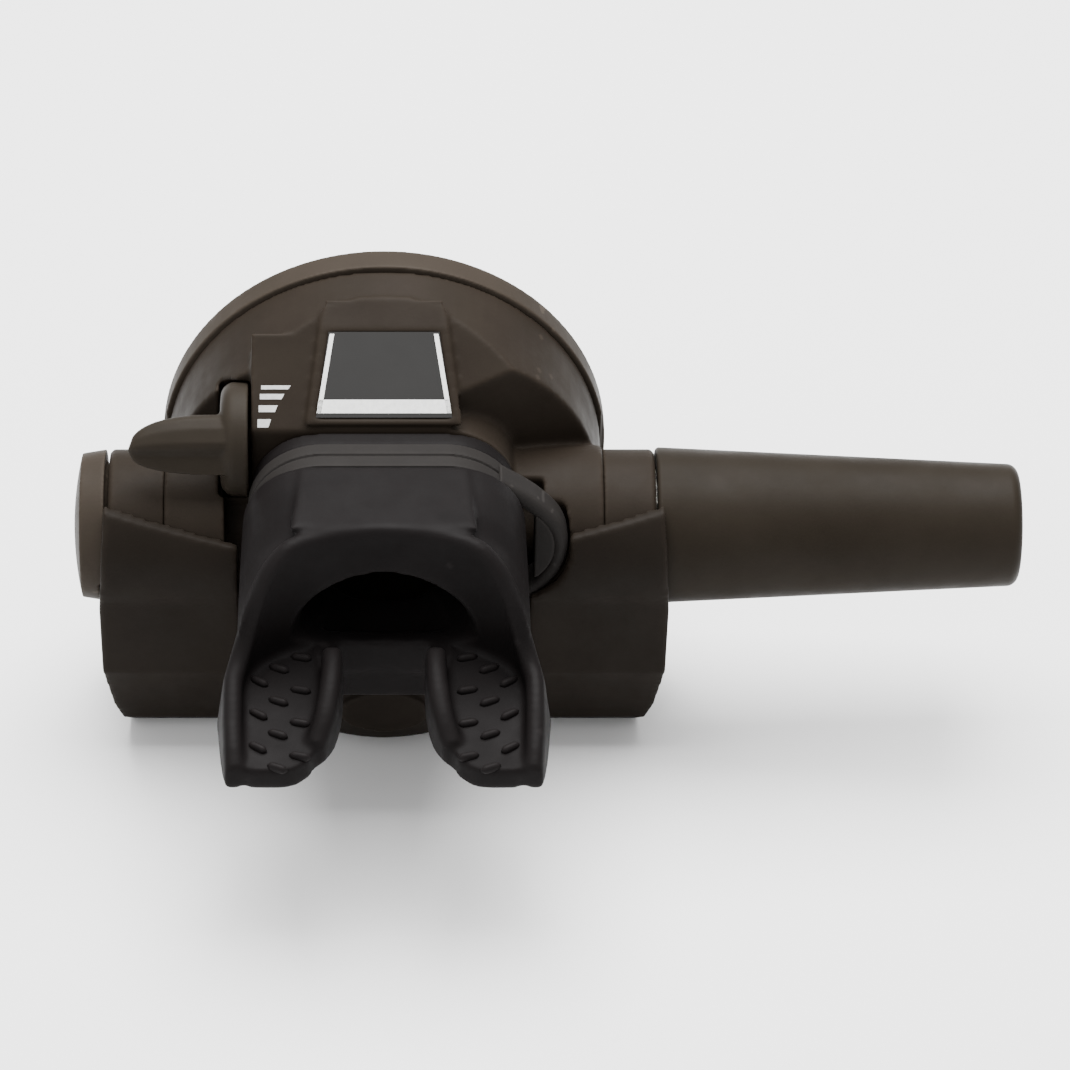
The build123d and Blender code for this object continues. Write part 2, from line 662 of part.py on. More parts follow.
# ---- Exhaust tee --------------------------------------------------------------------------------
def tee_wings(inset):
    """The tee's long body: an upper arc round the bosses, a leaning back wall and a flat foot."""
    outer_r = tee_wrap_r
    top = Vector(outer_r, 0).rotate(Axis.Z, 180 - 50)
    low = Vector(outer_r, 0).rotate(Axis.Z, 180 + 20)
    arc_mid = Vector(outer_r, 0).rotate(Axis.Z, 180 - 15)
    with BuildPart() as wings:
        with BuildSketch(side_plane):
            with BuildLine():
                ThreePointArc((top.X, top.Y), (arc_mid.X, arc_mid.Y), (low.X, low.Y))
                Polyline(
                    (low.X, low.Y), (-15.0, -22.0), (-9.5, -37.0), (-5.0, -axis_height), (12.0, -axis_height),
                    (14.0, -36.0), (12.0, -14.0), (4.0, 0.0), (top.X, top.Y),
                )
            make_face()
            if inset:
                offset(amount=-inset, kind=Kind.INTERSECTION)
        extrude(amount=far, both=True)
    return wings.part


def tee_bulge(inset):
    """The round swelling in the tee's middle, under the mouthpiece."""
    foot_z = axis_height * -1 + inset
    outline = profile(
        (0, foot_z), (17.5 - inset, foot_z), (24.5 - inset, -36.0 + inset), (28.4 - inset, -28.0 + inset / 2),
        (bulge_r - inset, -21.0), (28.2 - inset, neck_foot - 1.3 - inset), (0, neck_foot - 1.3 - inset),
        plane=Plane(origin=(0, bulge_y, axis_height), x_dir=(1, 0, 0), z_dir=(0, -1, 0)),
    )
    with BuildPart() as bulge:
        revolve(outline, axis=Axis((0, bulge_y, axis_height), (0, 0, 1)))
        split(bisect_by=Plane.XZ.offset(-bulge_y), keep=Keep.TOP)
    return bulge.part


with BuildPart() as tee_space:
    add(tee_wings(tee_wall))
    add(tee_bulge(tee_wall))
    add(case_form(tee_wall), mode=Mode.SUBTRACT)
    add(rod(side_plane, boss_r + play + tee_wall, -far, far), mode=Mode.SUBTRACT)

with BuildPart() as exhaust_tee:
    add(tee_wings(0))
    # the ends, seen from behind: leaning in below and above the widest line
    with BuildSketch(back_plane):
        with BuildLine():
            Polyline(
                (tee_half - 1.2, 14.0), (tee_half, -8.0), (tee_half - 0.2, -22.0), (tee_half - 1.8, -33.0),
                (tee_half - 4.4, -axis_height), (4.4 - tee_half, -axis_height), (1.8 - tee_half, -33.0),
                (0.2 - tee_half, -22.0), (-tee_half, -8.0), (1.2 - tee_half, 14.0), close=True,
            )
        make_face()
    extrude(amount=far, both=True, mode=Mode.INTERSECT)
    # upper edge, rising from the neck towards the ends
    with BuildSketch(back_plane):
        for side in (-1, 1):
            with BuildLine():
                Polyline(
                    (0, far), (0, tee_top_near), (side * mouth_half_w, tee_top_near), (side * tee_half, tee_top_far),
                    (side * far, tee_top_far), (side * far, far), close=True,
                )
            make_face()
    extrude(amount=far, both=True, mode=Mode.SUBTRACT)
    # room for the neck, the mouthpiece and its clamp
    with BuildSketch(back_plane):
        with Locations((0, neck_foot - 1.3)):
            Rectangle(2 * (mouth_half_w + 0.6), far, align=(Align.CENTER, Align.MIN))
    extrude(amount=far, both=True, mode=Mode.SUBTRACT)
    add(tee_bulge(0))
    extrude(keeper_outline(play), amount=far, mode=Mode.SUBTRACT)
    add(tee_space.part, mode=Mode.SUBTRACT)
    add(case_form(fit), mode=Mode.SUBTRACT)
    add(rod(side_plane, boss_r + play, -far, far), mode=Mode.SUBTRACT)
    add(rod(valve_plane, collar_r + fit, -tee_wall, collar_h), mode=Mode.SUBTRACT)
    # raised plain oval on the bulge
    with BuildSketch(back_plane.offset(-bulge_y + bulge_r - 3.0)):
        with Locations((0, -26.0)):
            Ellipse(8.0, 4.6)
    extrude(amount=3.5)

# ---- Mouthpiece ---------------------------------------------------------------------------------
bed_half_w = lip_half_w - clamp_bed
bed_half_h = lip_half_h - clamp_bed
mouth_foot = neck_rise - mouth_half_h
mouth_top = neck_rise + mouth_half_h
bend_y = mouth_wall_y - flange_bow + 1.5

with BuildPart() as flange:
    with BuildSketch(mid_plane):
        with Locations((0, bend_y)):
            Ellipse(mouth_half_flange, flange_bow)
            Rectangle(2 * mouth_half_flange, bend_y - mouth_end_y, align=(Align.CENTER, Align.MAX))
            Ellipse(mouth_half_flange - flange_wall, flange_bow - flange_wall, mode=Mode.SUBTRACT)
            Rectangle(
                2 * (mouth_half_flange - flange_wall), far, align=(Align.CENTER, Align.MAX), mode=Mode.SUBTRACT
            )
    extrude(amount=far, both=True)
    seen_from_side = profile(
        (mouth_wall_y + 5, mouth_foot), (mouth_wall_y + 5, mouth_top), (mouth_wall_y - 4, mouth_top),
        (mouth_wall_y - 18, 15.0), (mouth_end_y, 6.0), (mouth_end_y, -6.4), (mouth_wall_y - 18, -11.0),
        (mouth_wall_y - 6, mouth_foot),
        plane=side_plane,
    )
    extrude(seen_from_side, amount=far, both=True, mode=Mode.INTERSECT)

with BuildPart() as bite:
    platform = profile(
        (mouth_wall_y, 2.0), (mouth_end_y + 0.5, -2.5), (mouth_end_y + 0.5, -2.5 - platform_t),
        (mouth_wall_y, 2.0 - platform_t), plane=side_plane,
    )
    extrude(platform, amount=mouth_half_flange - flange_wall / 2, both=True)
    with Locations((0, (mouth_wall_y - 6 + mouth_end_y + 2) / 2, axis_height + 0.5)):
        Box(2 * tongue_half_gap + 7, mouth_wall_y - 6 - mouth_end_y - 2, 14.0)
    with Locations((0, mouth_end_y, axis_height)):
        Box(2 * tongue_half_gap, 2 * (mouth_wall_y - 4 - mouth_end_y), far, mode=Mode.SUBTRACT)

with BuildPart() as mouthpiece:
    add(racetrack(lip_half_w, lip_half_h, mouth_corner, mouth_start_y, lip_y))
    add(racetrack(bed_half_w, bed_half_h, mouth_corner, lip_y, clamp_end_y))
    add(racetrack(mouth_half_w, mouth_half_h, mouth_corner, clamp_end_y, mouth_wall_y))
    add(flange.part)
    add(bite.part)
    add(racetrack(spigot_half_w + fit, spigot_half_h + fit, spigot_corner, mouth_start_y + 1, spigot_end_y - play),
        mode=Mode.SUBTRACT)
    add(racetrack(hole_half_w, hole_half_h, hole_half_h - 0.2, spigot_end_y, hole_end_y, rise=hole_rise),
        mode=Mode.SUBTRACT)
    # notches for the barrel's sleeves
    add(rod(side_plane, sleeve_r + fit, -far, far), mode=Mode.SUBTRACT)

# ---- Clamp --------------------------------------------------------------------------------------
with BuildPart() as clamp_band:
    add(racetrack(
        bed_half_w + clamp_t, bed_half_h + clamp_t, mouth_corner + clamp_t, lip_y - clamp_side_gap,
        clamp_end_y + clamp_side_gap,
    ))
    # groove round the band's middle
    middle_y = (lip_y + clamp_end_y) / 2
    add(racetrack(far / 2, far / 2, mouth_corner, middle_y + 0.35, middle_y - 0.35), mode=Mode.SUBTRACT)
    add(racetrack(
        bed_half_w + clamp_t - 0.5, bed_half_h + clamp_t - 0.5, mouth_corner + clamp_t - 0.5,
        middle_y + 0.35, middle_y - 0.35,
    ))
    # tongue that the keeper loop holds
    extrude(keeper_outline(-keeper_t - fit), amount=lip_y - clamp_end_y - 2 * clamp_side_gap)
    add(racetrack(bed_half_w, bed_half_h, mouth_corner, far, -far), mode=Mode.SUBTRACT)

with BuildPart() as clamp_keeper:
    extrude(keeper_outline(0), amount=lip_y - clamp_end_y - 2 * clamp_side_gap)
    extrude(keeper_outline(-keeper_t), amount=far, both=True, mode=Mode.SUBTRACT)

# ---- Hose fitting and protector -----------------------------------------------------------------
hose_nut_end_x = nut_end_x + hose_nut_length
inner_wall_x = hose_nut_end_x - hose_nut_end_t
with BuildPart() as hose_nut:
    with BuildSketch(side_plane.offset(nut_end_x)):
        RegularPolygon(hose_nut_af / 2, 6, major_radius=False)
    extrude(amount=hose_nut_length)
    add(rod(side_plane, nut_bore_r, nut_end_x - 1, inner_wall_x), mode=Mode.SUBTRACT)
    add(rod(side_plane, hose_stem_neck_r + play, inner_wall_x - 1, far * 2), mode=Mode.SUBTRACT)

with BuildPart() as hose_stem:
    stem_flange_x = fitting_end_x + 0.4
    stem_start_x = fitting_end_x - 6.0
    stem = profile(
        (stem_start_x, stem_bore_r), (stem_start_x, nipple_r), (stem_start_x + 2, nipple_r),
        (stem_start_x + 2, nipple_r - 0.6), (stem_start_x + 3.4, nipple_r - 0.6), (stem_start_x + 3.4, nipple_r),
        (stem_flange_x, nipple_r), (stem_flange_x, hose_stem_flange_r),
        (inner_wall_x - play, hose_stem_flange_r), (inner_wall_x - play, hose_stem_neck_r),
        (ferrule_start, hose_stem_neck_r), (ferrule_start, barb_r), (hose_stem_end - 2, barb_r),
        (hose_stem_end, barb_r - 0.8), (hose_stem_end, stem_bore_r),
    )
    revolve(stem, axis=barrel_axis)

with BuildPart() as stem_oring:
    ring = profile(
        (stem_start_x + 2, nipple_r - 0.6), (stem_start_x + 3.4, nipple_r - 0.6),
        (stem_start_x + 3.4, nipple_r + 0.4), (stem_start_x + 2, nipple_r + 0.4),
    )
    revolve(ring, axis=barrel_axis)

ferrule_end = ferrule_start + ferrule_length
with BuildPart() as hose_ferrule:
    sleeve = profile(
        (ferrule_start, barb_r + fit), (ferrule_start, ferrule_r), (ferrule_end, ferrule_r),
        (ferrule_end, ferrule_r - ferrule_t), (ferrule_start + 1.5, ferrule_r - ferrule_t),
        (ferrule_start + 1.5, barb_r + fit),
    )
    revolve(sleeve, axis=barrel_axis)

with BuildPart() as hose_protector:
    start_x = nut_end_x + protector_gap
    end_x = start_x + protector_length
    sleeve = profile(
        (start_x, protector_bore_r), (start_x, protector_big_r), (end_x, protector_small_r),
        (end_x, hose_bore_r), (ferrule_end, hose_bore_r), (ferrule_end, ferrule_r + fit),
        (ferrule_start + 5, ferrule_r + fit), (ferrule_start + 2, protector_bore_r),
    )
    revolve(sleeve, axis=barrel_axis)
    rims = edges().filter_by(GeomType.CIRCLE).filter_by(lambda e: e.radius > protector_small_r - 0.01)
    fillet(rims.sort_by(Axis.X)[-1], radius=2.0)
    fillet(rims.sort_by(Axis.X)[0], radius=0.7)

# ---- One file for each piece --------------------------------------------------------------------
pieces = {
    "case": case,
    "label_plate": label_plate,
    "cover_ring": cover_ring,
    "front_cover": front_cover,
    "purge_button": purge_button,
    "purge_spring": purge_spring,
    "diaphragm_skirt": diaphragm_skirt,
    "diaphragm_disc": diaphragm_disc,
    "demand_lever": demand_lever,
    "lever_pin": lever_pin,
    "air_barrel": air_barrel,
    "barrel_orings": barrel_orings,
    "inlet_fitting": inlet_fitting,
    "orifice_crown": orifice_crown,
    "inlet_nut": inlet_nut,
    "poppet": poppet,
    "seat_disc": seat_disc,
    "poppet_spring": poppet_spring,
    "balance_plug": balance_plug,
    "spring_adjuster": spring_adjuster,
    "end_nut": end_nut,
    "end_cap": end_cap,
    "venturi_lever": venturi_lever,
    "venturi_oring": venturi_oring,
    "venturi_vane": venturi_vane,
    "exhaust_valve": exhaust_valve,
    "exhaust_tee": exhaust_tee,
    "mouthpiece": mouthpiece,
    "clamp_band": clamp_band,
    "clamp_keeper": clamp_keeper,
    "hose_nut": hose_nut,
    "hose_stem": hose_stem,
    "stem_oring": stem_oring,
    "hose_ferrule": hose_ferrule,
    "hose_protector": hose_protector,
}
for name, piece in pieces.items():
    piece.part.label = name
    export_step(piece.part, f"parts/{name}.step")
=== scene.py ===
"""A diver's second stage, seen from the mouthpiece's side. Sizes are metres, or millimetres before MM."""
import json
import math

import bmesh
import bpy
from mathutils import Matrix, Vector


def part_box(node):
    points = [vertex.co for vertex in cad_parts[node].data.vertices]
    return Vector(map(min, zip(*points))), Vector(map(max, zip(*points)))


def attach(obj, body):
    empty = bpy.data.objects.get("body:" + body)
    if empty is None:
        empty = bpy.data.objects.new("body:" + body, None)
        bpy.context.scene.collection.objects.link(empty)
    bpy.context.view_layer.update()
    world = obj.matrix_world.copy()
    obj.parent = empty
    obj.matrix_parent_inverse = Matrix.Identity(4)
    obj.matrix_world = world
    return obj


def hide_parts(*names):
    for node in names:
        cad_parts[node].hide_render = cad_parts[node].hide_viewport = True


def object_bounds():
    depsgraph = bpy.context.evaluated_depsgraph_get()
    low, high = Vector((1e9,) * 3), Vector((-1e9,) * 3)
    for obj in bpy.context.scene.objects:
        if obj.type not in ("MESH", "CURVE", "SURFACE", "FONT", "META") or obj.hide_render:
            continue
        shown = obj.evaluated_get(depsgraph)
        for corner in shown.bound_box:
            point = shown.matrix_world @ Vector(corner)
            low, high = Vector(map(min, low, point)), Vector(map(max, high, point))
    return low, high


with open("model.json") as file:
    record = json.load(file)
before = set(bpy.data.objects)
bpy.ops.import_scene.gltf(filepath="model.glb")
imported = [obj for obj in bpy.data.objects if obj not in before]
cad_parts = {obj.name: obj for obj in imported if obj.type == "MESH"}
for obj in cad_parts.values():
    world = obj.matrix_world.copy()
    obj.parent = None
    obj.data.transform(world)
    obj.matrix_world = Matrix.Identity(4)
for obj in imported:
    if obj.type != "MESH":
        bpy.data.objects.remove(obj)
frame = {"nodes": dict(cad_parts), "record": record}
cad_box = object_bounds()
nodes = frame["nodes"]
MM = 0.001

# ---- Places read from the frame ---------------------------------------------------------------
barrel_low, barrel_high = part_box("air_barrel")
AXIS = (barrel_low.z + barrel_high.z) / 2
mouth_low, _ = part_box("mouthpiece")
band_low, band_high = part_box("clamp_band")


# ---- Materials --------------------------------------------------------------------------------
class Shader:
    """A Principled material whose colour, roughness and grain come from the piece's own coordinates."""

    def __init__(self, name, roughness, metallic=0.0, specular=0.5, sheen=0.0):
        self.material = bpy.data.materials.new(name)
        self.material.use_nodes = True
        self.tree = self.material.node_tree
        self.surface = self.tree.nodes["Principled BSDF"]
        self.surface.inputs["Roughness"].default_value = roughness
        self.surface.inputs["Metallic"].default_value = metallic
        self.surface.inputs["Specular IOR Level"].default_value = specular
        self.surface.inputs["Sheen Weight"].default_value = sheen
        self.where = self.add("ShaderNodeTexCoord").outputs["Object"]

    def add(self, kind, **values):
        node = self.tree.nodes.new(kind)
        for name, value in values.items():
            setattr(node, name, value)
        return node

    def link(self, source, target):
        self.tree.links.new(source, target)

    def noise(self, scale, detail=4.0, roughness=0.55, stretch=None):
        """Noise over the piece, scale being its cells for each metre."""
        node = self.add("ShaderNodeTexNoise")
        node.inputs["Scale"].default_value = scale
        node.inputs["Detail"].default_value = detail
        node.inputs["Roughness"].default_value = roughness
        if stretch:
            mapping = self.add("ShaderNodeMapping")
            mapping.inputs["Scale"].default_value = stretch
            self.link(self.where, mapping.inputs["Vector"])
            self.link(mapping.outputs["Vector"], node.inputs["Vector"])
        else:
            self.link(self.where, node.inputs["Vector"])
        return node.outputs["Fac"]

    def ramp(self, source, *stops):
        """A colour ramp with stops of (place, colour)."""
        node = self.add("ShaderNodeValToRGB")
        elements = node.color_ramp.elements
        while len(elements) < len(stops):
            elements.new(0.5)
        for element, (place, colour) in zip(elements, stops):
            element.position = place
            element.color = (*colour, 1)
        self.link(source, node.inputs["Fac"])
        return node.outputs["Color"]

    def spread(self, source, low, high):
        """Maps noise to a range of values."""
        node = self.add("ShaderNodeMapRange")
        node.inputs["From Min"].default_value = 0.3
        node.inputs["From Max"].default_value = 0.7
        node.inputs["To Min"].default_value = low
        node.inputs["To Max"].default_value = high
        self.link(source, node.inputs["Value"])
        return node.outputs["Result"]

    def mix(self, amount, first, second):
        """Blends two colours. The numbers are the node's sockets for the factor and the colours."""
        node = self.add("ShaderNodeMix", data_type="RGBA")
        for socket, value in ((0, amount), (6, first), (7, second)):
            if isinstance(value, bpy.types.NodeSocket):
                self.link(value, node.inputs[socket])
            else:
                node.inputs[socket].default_value = value if socket == 0 else (*value, 1)
        return node.outputs[2]

    def colour(self, source):
        self.link(source, self.surface.inputs["Base Color"])

    def rough(self, source, low, high):
        self.link(self.spread(source, low, high), self.surface.inputs["Roughness"])

    def grain(self, *layers):
        """Bump from layers of (noise, height in metres), the finest last."""
        normal = None
        for source, height in layers:
            bump = self.add("ShaderNodeBump")
            bump.inputs["Strength"].default_value = 1.0
            bump.inputs["Distance"].default_value = height
            self.link(source, bump.inputs["Height"])
            if normal:
                self.link(normal, bump.inputs["Normal"])
            normal = bump.outputs["Normal"]
        self.link(normal, self.surface.inputs["Normal"])

    def painted_edge_highlight(self, base, edge_highlight, amount):
        """Lightens the convex edges: a painted highlight where their rounding catches the light."""
        edge = self.add("ShaderNodeNewGeometry").outputs["Pointiness"]
        mask = self.ramp(edge, (0.5, (0, 0, 0)), (0.62, (amount, amount, amount)))
        return self.mix(mask, base, edge_highlight)


EDGE_HIGHLIGHT_GAIN = 1.9                 # how much lighter the painted highlight on a convex edge is than its surface
DULL = 0.04                     # how little matt plastic and rubber mirror


def moulded(name, dark, light, roughness, grain=0.000015):
    """Moulded plastic or rubber: spark-eroded grain, faint cloudiness and a painted highlight on the convex
    edges.
    """
    s = Shader(name, roughness, specular=DULL)
    cloud = s.noise(60, detail=5)
    streak = s.noise(45, detail=3, stretch=(0.35, 1.0, 1.6))
    speck = s.noise(2600, detail=2, roughness=0.7)
    base = s.ramp(cloud, (0.32, dark), (0.68, light))
    base = s.mix(s.spread(streak, 0.0, 0.35), base, dark)
    base = s.mix(s.spread(speck, 0.0, 0.3), base, light)
    # painted highlight: the lighter colour raised further, laid on the convex edges below
    edge_highlight = [channel * EDGE_HIGHLIGHT_GAIN for channel in light]
    s.colour(s.painted_edge_highlight(base, edge_highlight, 0.5))
    s.rough(s.noise(140, detail=5), roughness - 0.07, roughness + 0.08)
    s.grain((s.noise(900, detail=3), grain), (speck, grain * 0.8))
    return s.material


def plated(name, light, dark, roughness):
    """Satin plated or bright metal, with fine turning lines and small marks."""
    s = Shader(name, roughness, metallic=1.0)
    lines = s.noise(1500, detail=2, stretch=(4.0, 0.3, 0.3))
    marks = s.noise(420, detail=6, roughness=0.7)
    s.colour(s.mix(s.spread(marks, 0.0, 0.5), s.ramp(lines, (0.3, dark), (0.7, light)), light))
    s.rough(marks, roughness - 0.06, roughness + 0.1)
    s.grain((lines, 0.000004))
    return s.material


def translucent(name, light, dark):
    """Milky silicone."""
    s = Shader(name, 0.4, sheen=0.2)
    s.surface.inputs["Subsurface Weight"].default_value = 0.3
    s.surface.inputs["Subsurface Radius"].default_value = (0.002, 0.002, 0.002)
    s.colour(s.ramp(s.noise(150, detail=4), (0.3, dark), (0.7, light)))
    s.rough(s.noise(300), 0.32, 0.5)
    s.grain((s.noise(1200, detail=3), 0.000008))
    return s.material


def printed_ink(name, light, dark, roughness):
    """Screen-printed ink, uneven at the scale of its mesh."""
    s = Shader(name, roughness)
    s.colour(s.ramp(s.noise(1400, detail=4), (0.25, dark), (0.6, light)))
    s.rough(s.noise(500), roughness - 0.06, roughness + 0.08)
    s.grain((s.noise(2200, detail=2), 0.000006))
    return s.material


MOULDED = {
    # slot: darker colour, lighter colour, roughness
    "case_plastic": ((0.0120, 0.0090, 0.0066), (0.0170, 0.0131, 0.0098), 0.54),
    "cover_plastic": ((0.0210, 0.0164, 0.0124), (0.0290, 0.0231, 0.0178), 0.52),
    "tee_plastic": ((0.0078, 0.0060, 0.0045), (0.0112, 0.0087, 0.0067), 0.52),
    "lever_plastic": ((0.0135, 0.0108, 0.0080), (0.0190, 0.0154, 0.0117), 0.46),
    "clamp_plastic": ((0.0115, 0.0103, 0.0097), (0.0163, 0.0148, 0.0139), 0.58),
    "inner_plastic": ((0.50, 0.50, 0.47), (0.58, 0.58, 0.55), 0.42),
    "protector_rubber": ((0.0108, 0.0083, 0.0059), (0.0155, 0.0123, 0.0090), 0.48),
    "soft_rubber": ((0.0140, 0.0122, 0.0107), (0.0195, 0.0172, 0.0153), 0.60),
    "mouth_silicone": ((0.0042, 0.0035, 0.0035), (0.0066, 0.0056, 0.0056), 0.54),
    "seal_rubber": ((0.006, 0.006, 0.006), (0.010, 0.010, 0.010), 0.45),
}
MATERIALS = {slot: moulded(slot, *look) for slot, look in MOULDED.items()}
MATERIALS["label"] = moulded("label", (0.013, 0.0128, 0.0125), (0.017, 0.0166, 0.0162), 0.40, grain=0.000006)
MATERIALS["silicone"] = translucent("silicone", (0.66, 0.67, 0.66), (0.56, 0.57, 0.56))
MATERIALS["plated_brass"] = plated("plated_brass", (0.72, 0.70, 0.66), (0.60, 0.58, 0.54), 0.26)
MATERIALS["spring_steel"] = plated("spring_steel", (0.74, 0.74, 0.74), (0.60, 0.60, 0.60), 0.22)
WHITE_INK = printed_ink("white_ink", (0.72, 0.72, 0.70), (0.60, 0.60, 0.58), 0.5)
GREY_INK = printed_ink("grey_ink", (0.46, 0.46, 0.45), (0.36, 0.36, 0.35), 0.55)


def paint(piece, material):
    piece.data.materials.clear()
    piece.data.materials.append(material)


slot_of = {s["node"]: s["material_slot"] for s in frame["record"]["subparts"]}
body_of_node = {n: b for b, members in frame["record"]["behaviour"]["bodies"].items() for n in members}
for node, thing in nodes.items():
    paint(thing, MATERIALS[slot_of[node]])


# ---- Meshes -----------------------------------------------------------------------------------
def piece_from(name, points, faces):
    """A new mesh piece with its normals made consistent."""
    mesh = bpy.data.meshes.new(name)
    mesh.from_pydata([tuple(p) for p in points], [], faces)
    made = bmesh.new()
    made.from_mesh(mesh)
    bmesh.ops.recalc_face_normals(made, faces=made.faces)
    made.to_mesh(mesh)
    made.free()
    piece = bpy.data.objects.new(name, mesh)
    bpy.context.scene.collection.objects.link(piece)
    return piece


def apply_modifiers(piece):
    """Replaces the piece's mesh with what its modifiers make of it."""
    evaluated = piece.evaluated_get(bpy.context.evaluated_depsgraph_get())
    mesh = bpy.data.meshes.new_from_object(evaluated)
    piece.modifiers.clear()
    old = piece.data
    piece.data = mesh
    bpy.data.meshes.remove(old)


def soften(piece, voxel, rounds):
    """Melts the piece into one skin with rounded edges, as a mould's polished corners give."""
    remesh = piece.modifiers.new("skin", "REMESH")
    remesh.mode = "VOXEL"
    remesh.voxel_size = voxel
    remesh.use_smooth_shade = True
    smooth = piece.modifiers.new("corners", "SMOOTH")
    smooth.factor = 0.5
    smooth.iterations = rounds
    apply_modifiers(piece)
    piece.data.shade_smooth()


def finished(piece, slot, body, *replaced):
    """Paints the piece, rides it on its body and hides the CAD parts it replaces."""
    paint(piece, MATERIALS[slot])
    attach(piece, body)
    if replaced:
        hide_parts(*replaced)
    return piece


def moulded_copy(node, voxel, rounds):
    """A CAD node's shape with soft mould corners in place of its sharp ones."""
    source = nodes[node]
    copy = bpy.data.objects.new(node + "_moulded", source.data.copy())
    bpy.context.scene.collection.objects.link(copy)
    made = bmesh.new()
    made.from_mesh(copy.data)
    bmesh.ops.remove_doubles(made, verts=made.verts, dist=0.002 * MM)
    made.to_mesh(copy.data)
    made.free()
    soften(copy, voxel, rounds)
    return finished(copy, slot_of[node], body_of_node[node], node)


def rings_to_faces(rings, count, closed=False):
    """Faces between neighbouring rings of count points, with end caps unless the rings close up."""
    faces = []
    pairs = [(i, i + 1) for i in range(rings - 1)]
    if closed:
        pairs.append((rings - 1, 0))
    for a, b in pairs:
        for k in range(count):
            n = (k + 1) % count
            faces.append((a * count + k, a * count + n, b * count + n, b * count + k))
    if not closed:
        faces.append(tuple(range(count)))
        faces.append(tuple((rings - 1) * count + k for k in range(count)))
    return faces


def rounded_ring(half_w, half_h, corner, rise, steps=12):
    """Points (x, z) round a rounded rectangle, each corner an arc of a number of steps."""
    points = []
    for sx, sz, start in ((1, 1, 0), (-1, 1, 90), (-1, -1, 180), (1, -1, 270)):
        for i in range(steps + 1):
            turn = math.radians(start + 90 * i / steps)
            x = sx * (half_w - corner) + corner * math.cos(turn)
            z = sz * (half_h - corner) + corner * math.sin(turn)
            points.append((x, z + rise))
    return points


def above_axis(rows):
    """Points in metres from rows of (x, y, height above the barrel's axis) in millimetres."""
    return [(x * MM, y * MM, AXIS + z * MM) for row in rows for x, y, z in row]


def curve_through(value, *knots):
    """A smooth curve through knots of (place, value), each knot's slope taken from its neighbours."""
    slopes = []
    for i in range(len(knots)):
        before, after = knots[max(i - 1, 0)], knots[min(i + 1, len(knots) - 1)]
        slopes.append((after[1] - before[1]) / (after[0] - before[0]))
    for i, ((a, low), (b, high)) in enumerate(zip(knots, knots[1:])):
        if value <= b or i == len(knots) - 2:
            t = max(0.0, min(1.0, (value - a) / (b - a)))
            bend_low, bend_high = slopes[i] * (b - a), slopes[i + 1] * (b - a)
            return (
                low * (1 + 2 * t) * (1 - t) ** 2 + bend_low * t * (1 - t) ** 2
                + high * t * t * (3 - 2 * t) + bend_high * t * t * (t - 1)
            )


def strip(name, stations, sides=7):
    """A wall swept through stations of (foot point, top point, half thickness), with rounded edges."""
    points = []
    for i, (foot, top, half) in enumerate(stations):
        before = stations[max(i - 1, 0)]
        after = stations[min(i + 1, len(stations) - 1)]
        along = (after[0] + after[1] - before[0] - before[1]).normalized()
        up = (top - foot).normalized()
        out = along.cross(up).normalized()
        for end, away in ((top - up * half, up), (foot + up * half, -up)):
            for k in range(sides):
                turn = math.pi * k / (sides - 1)
                side = math.cos(turn) if away == up else -math.cos(turn)
                points.append(end + out * half * side + away * half * math.sin(turn))
    return piece_from(name, points, rings_to_faces(len(stations), 2 * sides))


def joined(name, parts):
    """One piece from several."""
    made = bmesh.new()
    for part in parts:
        made.from_mesh(part.data)
        bpy.data.objects.remove(part)
    mesh = bpy.data.meshes.new(name)
    made.to_mesh(mesh)
    made.free()
    piece = bpy.data.objects.new(name, mesh)
    bpy.context.scene.collection.objects.link(piece)
    return piece


# ---- Hard shells with mould corners -------------------------------------------------------------
SHELLS = {
    # node: grain of its skin in millimetres, rounds of smoothing
    "case": (0.45, 5),
    "exhaust_tee": (0.5, 6),
    "clamp_band": (0.25, 3),
    "inlet_nut": (0.35, 3),
    "end_nut": (0.35, 3),
    "end_cap": (0.3, 3),
    "cover_ring": (0.35, 4),
    "front_cover": (0.4, 3),
    "purge_button": (0.4, 4),
}
for node, (voxel, rounds) in SHELLS.items():
    moulded_copy(node, voxel * MM, rounds)


# ---- Mouthpiece ---------------------------------------------------------------------------------
FLANGE_HALF = 27.0 * MM         # middle of the flange's wall
FLANGE_BOW = 16.8 * MM
FLANGE_BEND_Y = -49.0 * MM      # where the flange's curve turns into its straight sides
FLANGE_FRONT_Y = FLANGE_BEND_Y + FLANGE_BOW
TIP_Y = mouth_low.y + 0.6 * MM
TIP_PULL = 1.3 * MM             # how far the straight sides close in towards the tips
WALL_HALF = 1.75 * MM
INNER_WALL_HALF = 1.9 * MM
PLATFORM_T = 4.5 * MM
MOUTH_VOXEL = 0.5 * MM
NECK_RISE = 6.0                 # middle of the neck above the barrel's axis
COLLAR_Y = -4.2                 # end of the collar, against the case
POCKET_Y = -17.9                # bottom of the pocket for the case's spigot
POCKET = (21.3, 15.3, 11.0)     # its half width, half height and corner
PANEL_FOOT, PANEL_TOP = 24.0, 25.3
HOLE_HALF, HOLE_RISE = 14.6, 4.6
HOLE_ABOVE, HOLE_BELOW = 10.8, 4.2
HOLE_SIDES = 64


def flange_y(x):
    """Where the flange's middle surface lies at a distance x from the mid plane."""
    return FLANGE_BEND_Y + FLANGE_BOW * math.sqrt(max(0.0, 1 - (x / FLANGE_HALF) ** 2))


def flange_plan(bends=30, straights=16):
    """Places (x, y, turn) along one half of the flange seen from above."""
    plan = []
    for i in range(bends + 1):
        turn = math.pi / 2 * i / bends
        plan.append((FLANGE_HALF * math.sin(turn), FLANGE_BEND_Y + FLANGE_BOW * math.cos(turn), turn))
    for i in range(1, straights + 1):
        t = i / straights
        y = FLANGE_BEND_Y + (TIP_Y - FLANGE_BEND_Y) * t
        plan.append((FLANGE_HALF - TIP_PULL * t ** 2, y, math.pi / 2))
    return plan


